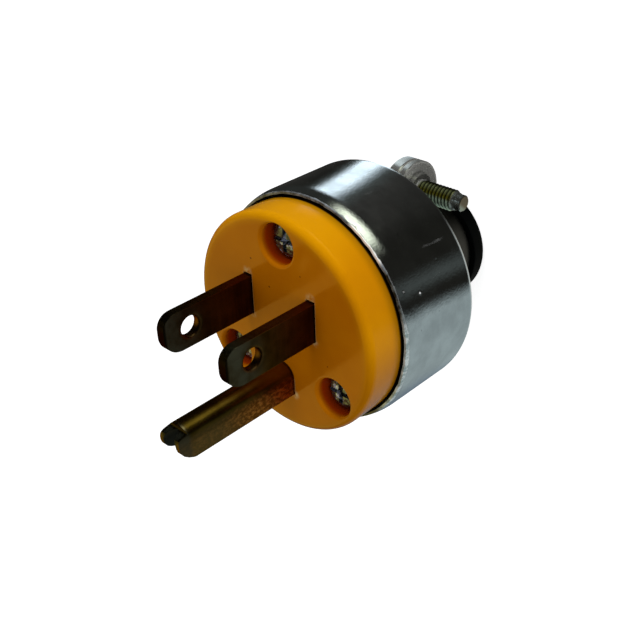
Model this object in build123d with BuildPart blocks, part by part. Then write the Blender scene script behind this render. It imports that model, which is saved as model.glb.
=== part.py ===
"""Rewireable grounded plug with two blades and a U-shaped ground pin, all sizes in millimetres.

The origin is the centre of the moulded face, on the plug's axis. The pieces are drawn with the prongs
along -Y, the cord end along +Y and the ground pin below the blades. Last of all they are turned so
that the plug stands on its bushing: the prongs point up along +Z and the ground pin is on the -Y side.
"""
import os
from math import cos, radians, sin

from build123d import *

# Moulded body
body_radius = 17.6
face_edge_radius = 0.8
face_wall = 7.5
body_length = 15.0
skirt_wall = 2.0
skirt_chamfer = 0.6
rib_width = 1.6
rib_inner_radius = 6.0

# Flat blades
blade_spacing = 12.7
blade_width = 6.35
blade_thickness = 1.5
blade_length = 16.7
blade_height = 3.2
blade_upper_corner = 2.2
blade_lower_corner = 3.0
blade_bevel = 0.4
blade_hole_radius = 1.6
blade_hole_distance = 11.9
blade_hole_bevel = 0.3
blade_foot_margin = 2.75
blade_foot_bend = 1.2
slot_clearance = 0.1

# Ground pin, folded from one strip
ground_drop = 11.9
ground_radius = 2.38
ground_leg = 2.53
ground_sheet = 0.9
ground_length = 22.2
ground_leg_lead = 2.3
ground_arch_setback = 1.8
ground_notch_rise = 1.48
ground_leg_rise = 1.07
ground_nose_slope = 2.6
ground_nose_bow_run = 0.83
ground_nose_bow_drop = 1.57
ground_foot_radius = 3.3

# Terminal screws
terminal_radius = 1.75
terminal_shank = 5.2
terminal_head_radius = 3.3
terminal_head_height = 2.0
terminal_edge_gap = 1.4
ground_terminal_rise = 7.0
terminal_slot_width = 0.8
terminal_slot_depth = 1.0
hole_clearance = 0.1
blind_extra = 0.3

# Assembly screws, through the face into the back of the shell
bolt_inset = 4.4
bolt_angles = {"top": 90.0, "left": 219.0, "right": 321.0}
counterbore_radius = 3.15
counterbore_depth = 4.0
counterbore_rounding = 0.55
assembly_radius = 1.75
assembly_head_radius = 2.85
assembly_head_height = 1.8
assembly_head_crown = 0.4
assembly_recess_width = 0.75
assembly_recess_depth = 1.0
assembly_cross_length = 3.6
boss_radius = 3.7
boss_end = 19.2

# Drawn steel shell
shell_sheet = 0.6
shell_space = 0.57
shell_front = 6.5
shell_back = 23.0
shell_corner = 2.0
lip_gap = 0.38
lip_edge = 0.4
lip_length = 2.5
collar_wall = 0.75
neck_clearance = 0.4

# Insulation inside the shell
liner_wall = 0.4
liner_clearance = 0.05
liner_front_gap = 2.0
insulator_thickness = 1.0
insulator_hole_margin = 0.2

# Cord clamp, two pressed halves
clamp_sheet = 0.9
clamp_inset = 5.2
clamp_gap = 0.25
clamp_end = 35.2
clamp_flange_width = 1.6
ear_radius = 5.5
ear_rise = 1.9
ear_inset = 4.8
ear_rim_depth = 1.9
ear_rim_bend = 0.45
ear_edge_rounding = 0.15
clamp_collar_radius = 2.6
clamp_collar_height = 0.9

# Clamp screws
clamp_screw_radius = 1.75
clamp_screw_rise = 3.0
clamp_screw_reach = 10.3
clamp_screw_point_radius = 1.3
clamp_screw_point_length = 1.8
clamp_screw_chamfer = 0.35
clamp_head_radius = 2.8
clamp_head_height = 2.1
clamp_head_slot_width = 0.9
clamp_head_slot_depth = 1.1
washer_radius = 2.9
washer_thickness = 0.6

# Rubber cord bushing
bushing_squeeze_gap = 0.1
bushing_wall = 3.15
bushing_start = 22.0
bushing_flange_overlap = 0.85
bushing_flange_width = 3.0
bushing_flange_rounding = 1.0
bushing_mouth_chamfer = 0.6

# Places worked out from the sizes above
cavity_radius = body_radius - skirt_wall
shell_inner_radius = body_radius + shell_space
shell_radius = shell_inner_radius + shell_sheet
lip_inner_radius = body_radius + lip_gap
bolt_circle_radius = body_radius - bolt_inset
ground_height = blade_height - ground_drop
terminal_x = cavity_radius - terminal_head_radius - terminal_edge_gap
ground_terminal_height = ground_height + ground_terminal_rise
bolt_places = {
    side: (bolt_circle_radius * cos(radians(angle)), bolt_circle_radius * sin(radians(angle)))
    for side, angle in bolt_angles.items()
}
shell_inner_back = shell_back - shell_sheet
insulator_back = boss_end + insulator_thickness
clamp_inner_radius = bolt_circle_radius - clamp_inset
clamp_outer_radius = clamp_inner_radius + clamp_sheet
insulator_hole_radius = clamp_inner_radius + insulator_hole_margin
bushing_sleeve_radius = clamp_inner_radius - bushing_squeeze_gap
bushing_bore_radius = bushing_sleeve_radius - bushing_wall
bushing_flange_radius = clamp_outer_radius + bushing_flange_overlap
ear_height = clamp_outer_radius + ear_rise
clamp_screw_height = clamp_outer_radius + clamp_screw_rise
shell_opening_radius = clamp_outer_radius + neck_clearance
ear_center = clamp_end - ear_inset


def across(y):
    """Plane square to the plug's axis at the given distance behind the face."""
    return Plane.XZ.offset(-y)


def slotted_head(place, radius, height, slot_width, slot_depth):
    """Round slotted head that stands on the given plane."""
    with BuildPart() as head:
        with BuildSketch(place):
            Circle(radius)
        extrude(amount=height)
        with BuildSketch(place.offset(height - slot_depth)):
            Rectangle(2 * radius, slot_width)
        extrude(amount=slot_depth, mode=Mode.SUBTRACT)
    return head.part


def ground_outline(extra):
    """Arch-topped outline of the ground pin, grown by extra, with its arch centred on the origin."""
    half = ground_radius + extra
    low = -ground_leg - extra
    with BuildSketch() as outline:
        with BuildLine():
            Polyline((-half, 0), (-half, low), (half, low), (half, 0))
            ThreePointArc((half, 0), (0, half), (-half, 0))
        make_face()
    return outline.sketch


# Moulded body with counterbored screw bosses and three terminal pockets
with BuildPart() as face_body:
    with BuildSketch(across(0)):
        Circle(body_radius)
    extrude(amount=-body_length)
    front_edge = face_body.edges().filter_by(GeomType.CIRCLE).sort_by(Axis.Y)[0]
    fillet(front_edge, face_edge_radius)
    back_edge = face_body.edges().filter_by(GeomType.CIRCLE).sort_by(Axis.Y)[-1]
    chamfer(back_edge, skirt_chamfer)
    with BuildSketch(across(face_wall)):
        Circle(cavity_radius)
    extrude(amount=face_wall - body_length, mode=Mode.SUBTRACT)
    with BuildSketch(across(face_wall)):
        for angle in bolt_angles.values():
            with PolarLocations(0, 1, start_angle=angle):
                with Locations(((rib_inner_radius + bolt_circle_radius) / 2, 0)):
                    Rectangle(bolt_circle_radius - rib_inner_radius, rib_width)
    extrude(amount=face_wall - body_length)
    with BuildSketch(across(face_wall)):
        with Locations(*bolt_places.values()):
            Circle(boss_radius)
    extrude(amount=face_wall - boss_end)
    with BuildSketch(across(0)):
        with Locations(*bolt_places.values()):
            Circle(assembly_radius + hole_clearance)
    extrude(amount=-boss_end, mode=Mode.SUBTRACT)
    with BuildSketch(across(0)):
        with Locations(*bolt_places.values()):
            Circle(counterbore_radius)
    extrude(amount=-counterbore_depth, mode=Mode.SUBTRACT)
    counterbore_rims = face_body.edges().filter_by(GeomType.CIRCLE).filter_by(
        lambda e: abs(e.radius - counterbore_radius) < counterbore_rounding
        and e.center().Y < face_edge_radius
    )
    fillet(counterbore_rims, counterbore_rounding)
    with BuildSketch(across(0)):
        with Locations((-blade_spacing / 2, blade_height), (blade_spacing / 2, blade_height)):
            Rectangle(blade_thickness + 2 * slot_clearance, blade_width + 2 * slot_clearance)
    extrude(amount=-face_wall, mode=Mode.SUBTRACT)
    with BuildSketch(across(0)):
        with Locations((0, ground_height)):
            add(ground_outline(slot_clearance))
    extrude(amount=-face_wall, mode=Mode.SUBTRACT)
    with BuildSketch(across(face_wall)):
        with Locations((-terminal_x, blade_height), (terminal_x, blade_height), (0, ground_terminal_height)):
            Circle(terminal_radius + hole_clearance)
    extrude(amount=terminal_shank + blind_extra, mode=Mode.SUBTRACT)


def blade(side):
    """One flat blade with its terminal foot bent outwards, on the side given as -1 or 1."""
    middle = side * blade_spacing / 2
    inner = middle - side * blade_thickness / 2
    outer = middle + side * blade_thickness / 2
    foot_end = side * (terminal_x + blade_foot_margin)
    foot_top = face_wall + blade_thickness
    with BuildPart() as piece:
        with BuildSketch(Plane.XY.offset(blade_height - blade_width / 2)):
            Polygon(
                (inner, -blade_length), (outer, -blade_length), (outer, face_wall),
                (foot_end, face_wall), (foot_end, foot_top), (inner, foot_top), align=None,
            )
        extrude(amount=blade_width)
        lengthwise = piece.edges().filter_by(Axis.Z).group_by(Axis.Y)[-1]
        fillet(lengthwise.sort_by(Axis.X)[-1 if side < 0 else 0], blade_foot_bend)
        tip_corners = piece.edges().filter_by(Axis.X).group_by(Axis.Y)[0].sort_by(Axis.Z)
        fillet(tip_corners[-1], blade_upper_corner)
        tip_corners = piece.edges().filter_by(Axis.X).group_by(Axis.Y)[0].sort_by(Axis.Z)
        fillet(tip_corners[0], blade_lower_corner)
        flat_sides = piece.faces().filter_by(Axis.X).filter_by(lambda f: f.center().Y < 0)
        tip_edges = [
            e for f in flat_sides for e in f.edges()
            if e.center().Y < blade_upper_corner - blade_length
        ]
        chamfer(tip_edges, blade_bevel)
        with BuildSketch(Plane.YZ.offset(middle - blade_thickness)):
            with Locations((-blade_hole_distance, blade_height)):
                Circle(blade_hole_radius)
        extrude(amount=2 * blade_thickness, mode=Mode.SUBTRACT)
        rims = piece.edges().filter_by(GeomType.CIRCLE).filter_by(
            lambda e: abs(e.radius - blade_hole_radius) < blade_hole_bevel and e.center().Y < 0
        )
        chamfer(rims, blade_hole_bevel)
        with BuildSketch(across(face_wall)):
            with Locations((side * terminal_x, blade_height)):
                Circle(terminal_radius + hole_clearance)
        extrude(amount=-blade_thickness, mode=Mode.SUBTRACT)
    return piece


line_blade = blade(-1)
neutral_blade = blade(1)

# Ground pin: a strip folded to a U, with its legs leading the arch and a foot for its terminal
with BuildPart() as ground_pin:
    with BuildSketch(across(-ground_length)):
        with Locations((0, ground_height)):
            add(ground_outline(0))
            Circle(ground_radius - ground_sheet, mode=Mode.SUBTRACT)
        with Locations((0, ground_height - ground_leg / 2)):
            Rectangle(2 * (ground_radius - ground_sheet), ground_leg, mode=Mode.SUBTRACT)
    extrude(amount=-(ground_length + face_wall + ground_sheet))
    with BuildSketch(Plane.YZ.offset(-ground_radius)):
        nose = -ground_length
        with BuildLine():
            notch = (nose + ground_leg_lead, ground_height + ground_notch_rise)
            crown = (nose + ground_arch_setback, ground_height + ground_radius)
            leg_top = (nose, ground_height + ground_leg_rise)
            leg_front = (nose, ground_height)
            leg_foot = (nose + ground_nose_slope, ground_height - ground_leg)
            Polyline(crown, notch, leg_top, leg_front)
            bow = (nose + ground_nose_bow_run, ground_height - ground_nose_bow_drop)
            ThreePointArc(leg_front, bow, leg_foot)
            outside = nose - 1
            Polyline(leg_foot, (outside, leg_foot[1]), (outside, crown[1]), crown)
        make_face()
    extrude(amount=2 * ground_radius, mode=Mode.SUBTRACT)
    with BuildSketch(across(face_wall)):
        with Locations((0, ground_terminal_height)):
            Circle(ground_foot_radius)
        foot_low = ground_height + ground_radius - ground_sheet
        with Locations((0, (ground_terminal_height + foot_low) / 2)):
            Rectangle(2 * ground_foot_radius, ground_terminal_height - foot_low)
        with Locations((0, ground_terminal_height)):
            Circle(terminal_radius + hole_clearance, mode=Mode.SUBTRACT)
    extrude(amount=-ground_sheet)


def terminal_screw(x, z, seat):
    """Binding screw that is driven from the cord side onto its seat."""
    head_plane = Plane(origin=(x, seat, z), x_dir=(1, 0, 0), z_dir=(0, 1, 0))
    head = slotted_head(
        head_plane, terminal_head_radius, terminal_head_height, terminal_slot_width, terminal_slot_depth,
    )
    with BuildPart() as piece:
        with BuildSketch(across(seat)):
            with Locations((x, z)):
                Circle(terminal_radius)
        extrude(amount=terminal_shank)
        add(head)
    return piece


blade_foot_top = face_wall + blade_thickness
ground_foot_top = face_wall + ground_sheet
line_terminal_screw = terminal_screw(-terminal_x, blade_height, blade_foot_top)
neutral_terminal_screw = terminal_screw(terminal_x, blade_height, blade_foot_top)
ground_terminal_screw = terminal_screw(0, ground_terminal_height, ground_foot_top)


def assembly_screw(place):
    """Long screw from its counterbore in the face to the tapped collar in the back of the shell."""
    x, z = place
    head_top = counterbore_depth - assembly_head_height
    with BuildPart() as piece:
        with BuildSketch(Plane.XY.offset(z)):
            with Locations((x, 0)):
                Polygon(
                    (0, head_top), (assembly_head_radius - assembly_head_crown, head_top),
                    (assembly_head_radius, head_top + assembly_head_crown),
                    (assembly_head_radius, counterbore_depth), (assembly_radius, counterbore_depth),
                    (assembly_radius, shell_inner_back), (0, shell_inner_back), align=None,
                )
        revolve(axis=Axis((x, 0, z), (0, 1, 0)))
        with BuildSketch(across(head_top)):
            with Locations(place):
                Rectangle(2 * assembly_head_radius, assembly_recess_width)
                Rectangle(assembly_recess_width, assembly_cross_length)
        extrude(amount=-assembly_recess_depth, mode=Mode.SUBTRACT)
    return piece


assembly_screws = {side: assembly_screw(place) for side, place in bolt_places.items()}

# Drawn shell with a coined front lip and three tapped collars turned in from its back wall
with BuildPart() as steel_shell:
    lip_outer_radius = lip_inner_radius + lip_edge
    lip_end = shell_front + lip_length
    lip_rise = shell_radius - lip_outer_radius
    lip_arc_radius = (lip_rise**2 + lip_length**2) / (2 * lip_rise)
    inner_corner = shell_corner - shell_sheet
    bend_start = shell_back - shell_corner
    bend_end = shell_radius - shell_corner
    with BuildSketch(Plane.XY):
        with BuildLine():
            Line((lip_inner_radius, shell_front), (lip_outer_radius, shell_front))
            RadiusArc((lip_outer_radius, shell_front), (shell_radius, lip_end), -lip_arc_radius)
            Line((shell_radius, lip_end), (shell_radius, bend_start))
            RadiusArc((shell_radius, bend_start), (bend_end, shell_back), -shell_corner)
            Polyline(
                (bend_end, shell_back), (shell_opening_radius, shell_back),
                (shell_opening_radius, shell_inner_back), (bend_end, shell_inner_back),
            )
            RadiusArc((bend_end, shell_inner_back), (shell_inner_radius, bend_start), inner_corner)
            Polyline(
                (shell_inner_radius, bend_start), (shell_inner_radius, lip_end),
                (lip_inner_radius, shell_front),
            )
        make_face()
    revolve(axis=Axis.Y)
    with BuildSketch(across(insulator_back)):
        with Locations(*bolt_places.values()):
            Circle(assembly_radius + collar_wall)
    extrude(amount=insulator_back - shell_inner_back)
    with BuildSketch(across(insulator_back)):
        with Locations(*bolt_places.values()):
            Circle(assembly_radius + hole_clearance / 2)
    extrude(amount=insulator_back - shell_back, mode=Mode.SUBTRACT)

# Fibre strip rolled into a tube between the body and the shell
with BuildPart() as insulating_liner:
    liner_outer_radius = shell_inner_radius - liner_clearance
    liner_start = shell_front + lip_length + liner_front_gap
    with BuildSketch(across(liner_start)):
        Circle(liner_outer_radius)
        Circle(liner_outer_radius - liner_wall, mode=Mode.SUBTRACT)
    extrude(amount=liner_start - insulator_back)

# Fibre disc pinched between the screw bosses and the shell's collars
with BuildPart() as rear_insulator:
    with BuildSketch(across(boss_end)):
        Circle(liner_outer_radius - liner_wall - liner_clearance)
        Circle(insulator_hole_radius, mode=Mode.SUBTRACT)
        with Locations(*bolt_places.values()):
            Circle(assembly_radius + hole_clearance, mode=Mode.SUBTRACT)
    extrude(amount=-insulator_thickness)


def clamp_half(side):
    """Pressed clamp half on the side given as -1 or 1, with an inner flange and two ears."""
    flange_radius = clamp_outer_radius + clamp_flange_width
    flange_front = shell_inner_back - clamp_sheet
    ear_low = clamp_inner_radius + clamp_sheet / 2
    ear_depth = ear_rim_depth if side < 0 else clamp_sheet
    ear_centers = [(ear_center, ear_height), (ear_center, -ear_height)]
    screw_centers = [(ear_center, clamp_screw_height), (ear_center, -clamp_screw_height)]
    seam = side * clamp_gap / 2
    back = seam + side * clamp_sheet
    with BuildPart() as piece:
        with BuildSketch(Plane.XY):
            Polygon(
                (clamp_inner_radius, flange_front), (flange_radius, flange_front),
                (flange_radius, shell_inner_back), (clamp_outer_radius, shell_inner_back),
                (clamp_outer_radius, clamp_end), (clamp_inner_radius, clamp_end), align=None,
            )
        revolve(axis=Axis.Y)
        split(bisect_by=Plane.YZ.offset(seam), keep=Keep.TOP if side > 0 else Keep.BOTTOM)
        with BuildSketch(Plane.YZ.offset(seam)):
            with Locations(*ear_centers):
                Circle(ear_radius)
            for up in (1, -1):
                with Locations((ear_center, up * (ear_height + ear_low) / 2)):
                    Rectangle(2 * ear_inset, ear_height - ear_low)
        extrude(amount=side * ear_depth)
        ear_rims = piece.edges().filter_by(GeomType.CIRCLE).filter_by(
            lambda e: abs(e.radius - ear_radius) < clamp_gap
        )
        bent_edges = ear_rims.group_by(Axis.X)[-1]
        fillet(bent_edges, ear_rim_bend if side < 0 else ear_edge_rounding)
        if side < 0:
            with BuildSketch(Plane.YZ.offset(back)):
                with Locations(*ear_centers):
                    Circle(ear_radius - clamp_sheet)
                with Locations((ear_center, 0)):
                    Rectangle(2 * ear_radius, 2 * clamp_outer_radius, mode=Mode.SUBTRACT)
            extrude(amount=clamp_sheet - ear_rim_depth, mode=Mode.SUBTRACT)
        else:
            with BuildSketch(Plane.YZ.offset(back)):
                with Locations(*screw_centers):
                    Circle(clamp_collar_radius)
            extrude(amount=clamp_collar_height)
        with BuildSketch(Plane.YZ.offset(seam)):
            with Locations(*screw_centers):
                Circle(clamp_screw_radius + hole_clearance / 2)
        extrude(amount=side * (ear_depth + clamp_collar_height), mode=Mode.SUBTRACT)
        with BuildSketch(across(flange_front)):
            Circle(clamp_inner_radius)
        extrude(amount=flange_front - clamp_end - clamp_sheet, mode=Mode.SUBTRACT)
        with BuildSketch(across(clamp_end)):
            Circle(bushing_flange_radius + hole_clearance)
        extrude(amount=-ear_radius, mode=Mode.SUBTRACT)
    return piece


clamp_halves = {"left": clamp_half(-1), "right": clamp_half(1)}


def clamp_screw(up):
    """Clamp screw above or below the cord, with its head on the left and a dog point on the right."""
    height = up * clamp_screw_height
    seat = -clamp_gap / 2 - clamp_sheet - washer_thickness
    point_start = clamp_screw_reach - clamp_screw_point_length
    head_plane = Plane(origin=(seat, ear_center, height), x_dir=(0, 1, 0), z_dir=(-1, 0, 0))
    head = slotted_head(
        head_plane, clamp_head_radius, clamp_head_height, clamp_head_slot_width, clamp_head_slot_depth,
    )
    with BuildPart() as piece:
        with BuildSketch(Plane.XY.offset(height)):
            with Locations((0, ear_center)):
                Polygon(
                    (seat, 0), (seat, clamp_screw_radius),
                    (point_start - clamp_screw_chamfer, clamp_screw_radius),
                    (point_start, clamp_screw_point_radius),
                    (clamp_screw_reach, clamp_screw_point_radius), (clamp_screw_reach, 0), align=None,
                )
        revolve(axis=Axis((0, ear_center, height), (1, 0, 0)))
        add(head)
    return piece


def clamp_washer(up):
    """Flat washer between a clamp screw's head and the left ear."""
    seat = -clamp_gap / 2 - clamp_sheet
    with BuildPart() as piece:
        with BuildSketch(Plane.YZ.offset(seat)):
            with Locations((ear_center, up * clamp_screw_height)):
                Circle(washer_radius)
                Circle(clamp_screw_radius + hole_clearance, mode=Mode.SUBTRACT)
        extrude(amount=-washer_thickness)
    return piece


clamp_screws = {"upper": clamp_screw(1), "lower": clamp_screw(-1)}
clamp_washers = {"upper": clamp_washer(1), "lower": clamp_washer(-1)}

# Rubber bushing held by the clamp, with a flange behind it
with BuildPart() as cord_bushing:
    bushing_end = clamp_end + bushing_flange_width
    with BuildSketch(Plane.XY):
        Polygon(
            (bushing_bore_radius, bushing_start), (bushing_sleeve_radius, bushing_start),
            (bushing_sleeve_radius, clamp_end), (bushing_flange_radius, clamp_end),
            (bushing_flange_radius, bushing_end), (bushing_bore_radius, bushing_end), align=None,
        )
    revolve(axis=Axis.Y)
    rim = cord_bushing.edges().filter_by(GeomType.CIRCLE).group_by(Axis.Y)[-1].sort_by(SortBy.RADIUS)
    fillet(rim[-1], bushing_flange_rounding)
    mouth = cord_bushing.edges().filter_by(GeomType.CIRCLE).group_by(Axis.Y)[-1].sort_by(SortBy.RADIUS)
    chamfer(mouth[0], bushing_mouth_chamfer)

pieces = {
    "face_body": face_body,
    "line_blade": line_blade,
    "neutral_blade": neutral_blade,
    "ground_pin": ground_pin,
    "line_terminal_screw": line_terminal_screw,
    "neutral_terminal_screw": neutral_terminal_screw,
    "ground_terminal_screw": ground_terminal_screw,
    "steel_shell": steel_shell,
    "insulating_liner": insulating_liner,
    "rear_insulator": rear_insulator,
    "cord_bushing": cord_bushing,
}
for side, screw in assembly_screws.items():
    pieces[f"assembly_screw_{side}"] = screw
for side, half in clamp_halves.items():
    pieces[f"clamp_half_{side}"] = half
for level in clamp_screws:
    pieces[f"clamp_screw_{level}"] = clamp_screws[level]
    pieces[f"clamp_washer_{level}"] = clamp_washers[level]

os.makedirs("parts", exist_ok=True)
for name, piece in pieces.items():
    standing = piece.part.rotate(Axis.X, -90)
    standing.label = name
    export_step(standing, f"parts/{name}.step")
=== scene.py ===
"""Grounded plug: bmesh pieces, procedural finishes, soft studio light and the camera.

The making functions draw each piece in millimetres, lying down: the moulded face at Y = 0, prongs
towards -Y, cord end towards +Y. A finished piece is scaled to metres, turned upright so that the
prongs point up, and stands for a CAD node.
"""
from math import cos, pi, radians, sin

import bmesh
import bpy
from mathutils import Matrix, Vector


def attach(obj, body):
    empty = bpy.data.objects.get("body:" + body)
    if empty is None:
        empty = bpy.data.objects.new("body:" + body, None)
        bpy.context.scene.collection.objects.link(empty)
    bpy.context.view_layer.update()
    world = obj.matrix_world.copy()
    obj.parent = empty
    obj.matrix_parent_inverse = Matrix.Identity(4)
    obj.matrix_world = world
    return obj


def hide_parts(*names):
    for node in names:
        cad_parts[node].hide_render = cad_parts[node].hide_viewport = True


WHITE = (1, 1, 1, 1)
BLACK = (0, 0, 0, 1)
MM = 0.001
MM_PER_METRE = 1000
FULL_TURN = 2 * pi
CREASE = 32

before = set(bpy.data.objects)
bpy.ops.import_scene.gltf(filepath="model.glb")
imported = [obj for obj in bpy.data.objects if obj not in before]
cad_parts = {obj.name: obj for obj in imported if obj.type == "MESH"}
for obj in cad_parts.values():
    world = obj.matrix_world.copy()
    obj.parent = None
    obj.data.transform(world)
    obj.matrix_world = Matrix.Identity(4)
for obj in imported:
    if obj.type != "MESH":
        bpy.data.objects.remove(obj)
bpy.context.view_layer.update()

# Sizes in millimetres, as in the CAD model
BODY_RADIUS = 17.6
BODY_LENGTH = 15
CAVITY_RADIUS = 15.6
FACE_WALL = 7.5
SLOT_CLEARANCE = 0.1
BLADE_X = 6.35
BLADE_Z = 3.2
BLADE_WIDTH = 6.35
BLADE_THICKNESS = 1.5
BLADE_LENGTH = 16.7
BLADE_HOLE_RADIUS = 1.6
HOLE_Y = -11.9
PIN_Z = -8.7
PIN_RADIUS = 2.38
PIN_LEG = 2.53
PIN_SHEET = 0.9
PIN_LENGTH = 22.2
TERMINAL_X = 10.9
TERMINAL_FOOT = 7.3
GROUND_TERMINAL_Z = -1.7
GROUND_FOOT_RADIUS = 3.3
BOLT_CIRCLE = 13.2
BOLT_ANGLES = {"top": 90, "left": 219, "right": 321}
BOLT_RADIUS = 1.75
BOLT_HOLE_RADIUS = 1.85
BOLT_HEAD_RADIUS = 2.75
BOLT_RECESS = 0.75
BOSS_RADIUS = 3.7
BOSS_END = 19.2
RIB_WIDTH = 1.6
COUNTERBORE_RADIUS = 3.15
COUNTERBORE_DEPTH = 4.0
SHELL_RADIUS = 18.77
SHELL_CORNER = 2.0
SHELL_FRONT = 6.5
LIP_LENGTH = 2.5
LIP_RADIUS = 18.38
SHELL_BACK = 23.0
SHELL_SHEET = 0.6
SHELL_OPENING = 9.3
COLLAR_START = 20.2
COLLAR_RADIUS = 1.8
COLLAR_OUTER_RADIUS = 2.5
CLAMP_GAP = 0.25
CLAMP_SHEET = 0.9
CLAMP_END = 35.2
EAR_Z = 10.8
EAR_RADIUS = 5.5
CLAMP_SCREW_Y = 30.4
CLAMP_SCREW_Z = 11.9
CLAMP_SCREW_END = 10.3
WASHER_THICKNESS = 0.6
BUSHING_START = 22.0
BUSHING_END = 38.2
BUSHING_BORE = 4.75
BUSHING_SLEEVE = 7.9
BUSHING_FLANGE = 9.75

BOLTS = {
    side: (BOLT_CIRCLE * cos(radians(angle)), BOLT_CIRCLE * sin(radians(angle)))
    for side, angle in BOLT_ANGLES.items()
}


# Making shapes

def steps_of(turn, count):
    """Angles from 0 to a turn in equal steps, with both ends."""
    return [turn * k / count for k in range(count + 1)]


def turned(points, steps, closed=True):
    """Body of revolution about the Y axis, from (radius, y) points; an open profile ends on the axis."""
    bm = bmesh.new()
    verts = [bm.verts.new((radius, y, 0)) for radius, y in points]
    for a, b in zip(verts, verts[1:]):
        bm.edges.new((a, b))
    if closed:
        bm.edges.new((verts[-1], verts[0]))
    bmesh.ops.spin(
        bm, geom=bm.verts[:] + bm.edges[:], cent=(0, 0, 0), axis=(0, 1, 0), angle=FULL_TURN,
        steps=steps, use_merge=True,
    )
    bmesh.ops.remove_doubles(bm, verts=bm.verts, dist=0.0001)
    bmesh.ops.dissolve_degenerate(bm, edges=bm.edges, dist=0.0001)
    bmesh.ops.recalc_face_normals(bm, faces=bm.faces)
    return bm


def plate(outline, low, high, axis="X"):
    """Flat outline extruded from low to high along an axis; its points are the other two coordinates."""
    places = {"X": lambda a, b: (low, a, b), "Y": lambda a, b: (a, low, b), "Z": lambda a, b: (a, b, low)}
    place = places[axis]
    step = {"X": (high - low, 0, 0), "Y": (0, high - low, 0), "Z": (0, 0, high - low)}[axis]
    bm = bmesh.new()
    sheet = bm.faces.new([bm.verts.new(place(a, b)) for a, b in outline])
    grown = bmesh.ops.extrude_face_region(bm, geom=[sheet], use_keep_orig=True)["geom"]
    bmesh.ops.translate(bm, vec=step, verts=[v for v in grown if isinstance(v, bmesh.types.BMVert)])
    bmesh.ops.recalc_face_normals(bm, faces=bm.faces)
    return bm


def block(size, center):
    """Box with the given size and middle."""
    bm = bmesh.new()
    bmesh.ops.create_cube(bm, size=1)
    bmesh.ops.scale(bm, vec=size, verts=bm.verts)
    bmesh.ops.translate(bm, vec=center, verts=bm.verts)
    return bm


def moved(bm, offset=(0, 0, 0), turn=None):
    """Turns a shape by a rotation, then moves it."""
    if turn is not None:
        bmesh.ops.rotate(bm, cent=(0, 0, 0), matrix=turn, verts=bm.verts)
    bmesh.ops.translate(bm, vec=offset, verts=bm.verts)
    return bm


TO_X = Matrix.Rotation(-pi / 2, 3, "Z")
TO_MINUS_X = Matrix.Rotation(pi / 2, 3, "Z")
UPRIGHT = Matrix.Rotation(-pi / 2, 3, "X")


def soften(bm, width, segments, where, sharpest=35):
    """Rounds the edges that are sharper than an angle and whose middle passes a test."""
    picked = []
    for edge in bm.edges:
        if len(edge.link_faces) != 2 or edge.calc_face_angle(0) < radians(sharpest):
            continue
        middle = (edge.verts[0].co + edge.verts[1].co) / 2
        if where(middle):
            picked.append(edge)
    if picked:
        bmesh.ops.bevel(
            bm, geom=picked, offset=width, offset_type="OFFSET", segments=segments, profile=0.5,
            affect="EDGES", clamp_overlap=True, material=-1,
        )
    return bm


def joined(first, *others):
    """Adds other shapes to the first as closed shells of one mesh."""
    for other in others:
        part = bpy.data.meshes.new("part")
        other.to_mesh(part)
        other.free()
        first.from_mesh(part)
        bpy.data.meshes.remove(part)
    return first


def as_object(bm, name):
    """Puts a bmesh into a scene object and frees it."""
    mesh = bpy.data.meshes.new(name)
    bm.to_mesh(mesh)
    bm.free()
    made = bpy.data.objects.new(name, mesh)
    bpy.context.scene.collection.objects.link(made)
    return made


def baked(source, name):
    """Mesh of an object with its modifiers applied; the object is removed."""
    view = source.evaluated_get(bpy.context.evaluated_depsgraph_get())
    mesh = bpy.data.meshes.new_from_object(view)
    mesh.name = name
    old = source.data
    bpy.data.objects.remove(source)
    bpy.data.meshes.remove(old)
    return mesh


def carved(bm, cutters):
    """The shape with every cutter taken away from it."""
    blank = as_object(bm, "blank")
    tools = [as_object(cutter, "tool") for cutter in cutters]
    for tool in tools:
        cut = blank.modifiers.new("cut", "BOOLEAN")
        cut.operation = "DIFFERENCE"
        cut.solver = "EXACT"
        cut.object = tool
    mesh = baked(blank, "carved")
    for tool in tools:
        old = tool.data
        bpy.data.objects.remove(tool)
        bpy.data.meshes.remove(old)
    result = bmesh.new()
    result.from_mesh(mesh)
    bpy.data.meshes.remove(mesh)
    return result


def piece(name, bm, finish, node):
    """Scales a shape to metres, shades it, and lets it stand for its CAD node."""
    bmesh.ops.scale(bm, vec=(MM, MM, MM), verts=bm.verts)
    bmesh.ops.rotate(bm, cent=(0, 0, 0), matrix=UPRIGHT, verts=bm.verts)
    bmesh.ops.remove_doubles(bm, verts=bm.verts, dist=2e-7)
    for face in bm.faces:
        face.smooth = True
    for edge in bm.edges:
        edge.smooth = len(edge.link_faces) == 2 and edge.calc_face_angle(0) < radians(CREASE)
    made = as_object(bm, name)
    weight = made.modifiers.new("even shading", "WEIGHTED_NORMAL")
    weight.keep_sharp = True
    weight.weight = 100
    made.data.materials.append(finish)
    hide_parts(node)
    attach(made, "root")


# Making materials. Distances are in millimetres, and bearings run from 0 to 1. A mask is written as
# signal.rise(low, high), which is 0 at low and 1 at high, and masks are multiplied to narrow a patch.

def tint(red, green, blue):
    """Colour written as screen values from 0 to 255, as the linear colour the shader takes."""
    linear = [((c / 255 + 0.055) / 1.055) ** 2.4 if c > 10 else c / 3295 for c in (red, green, blue)]
    return (*linear, 1.0)


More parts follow.
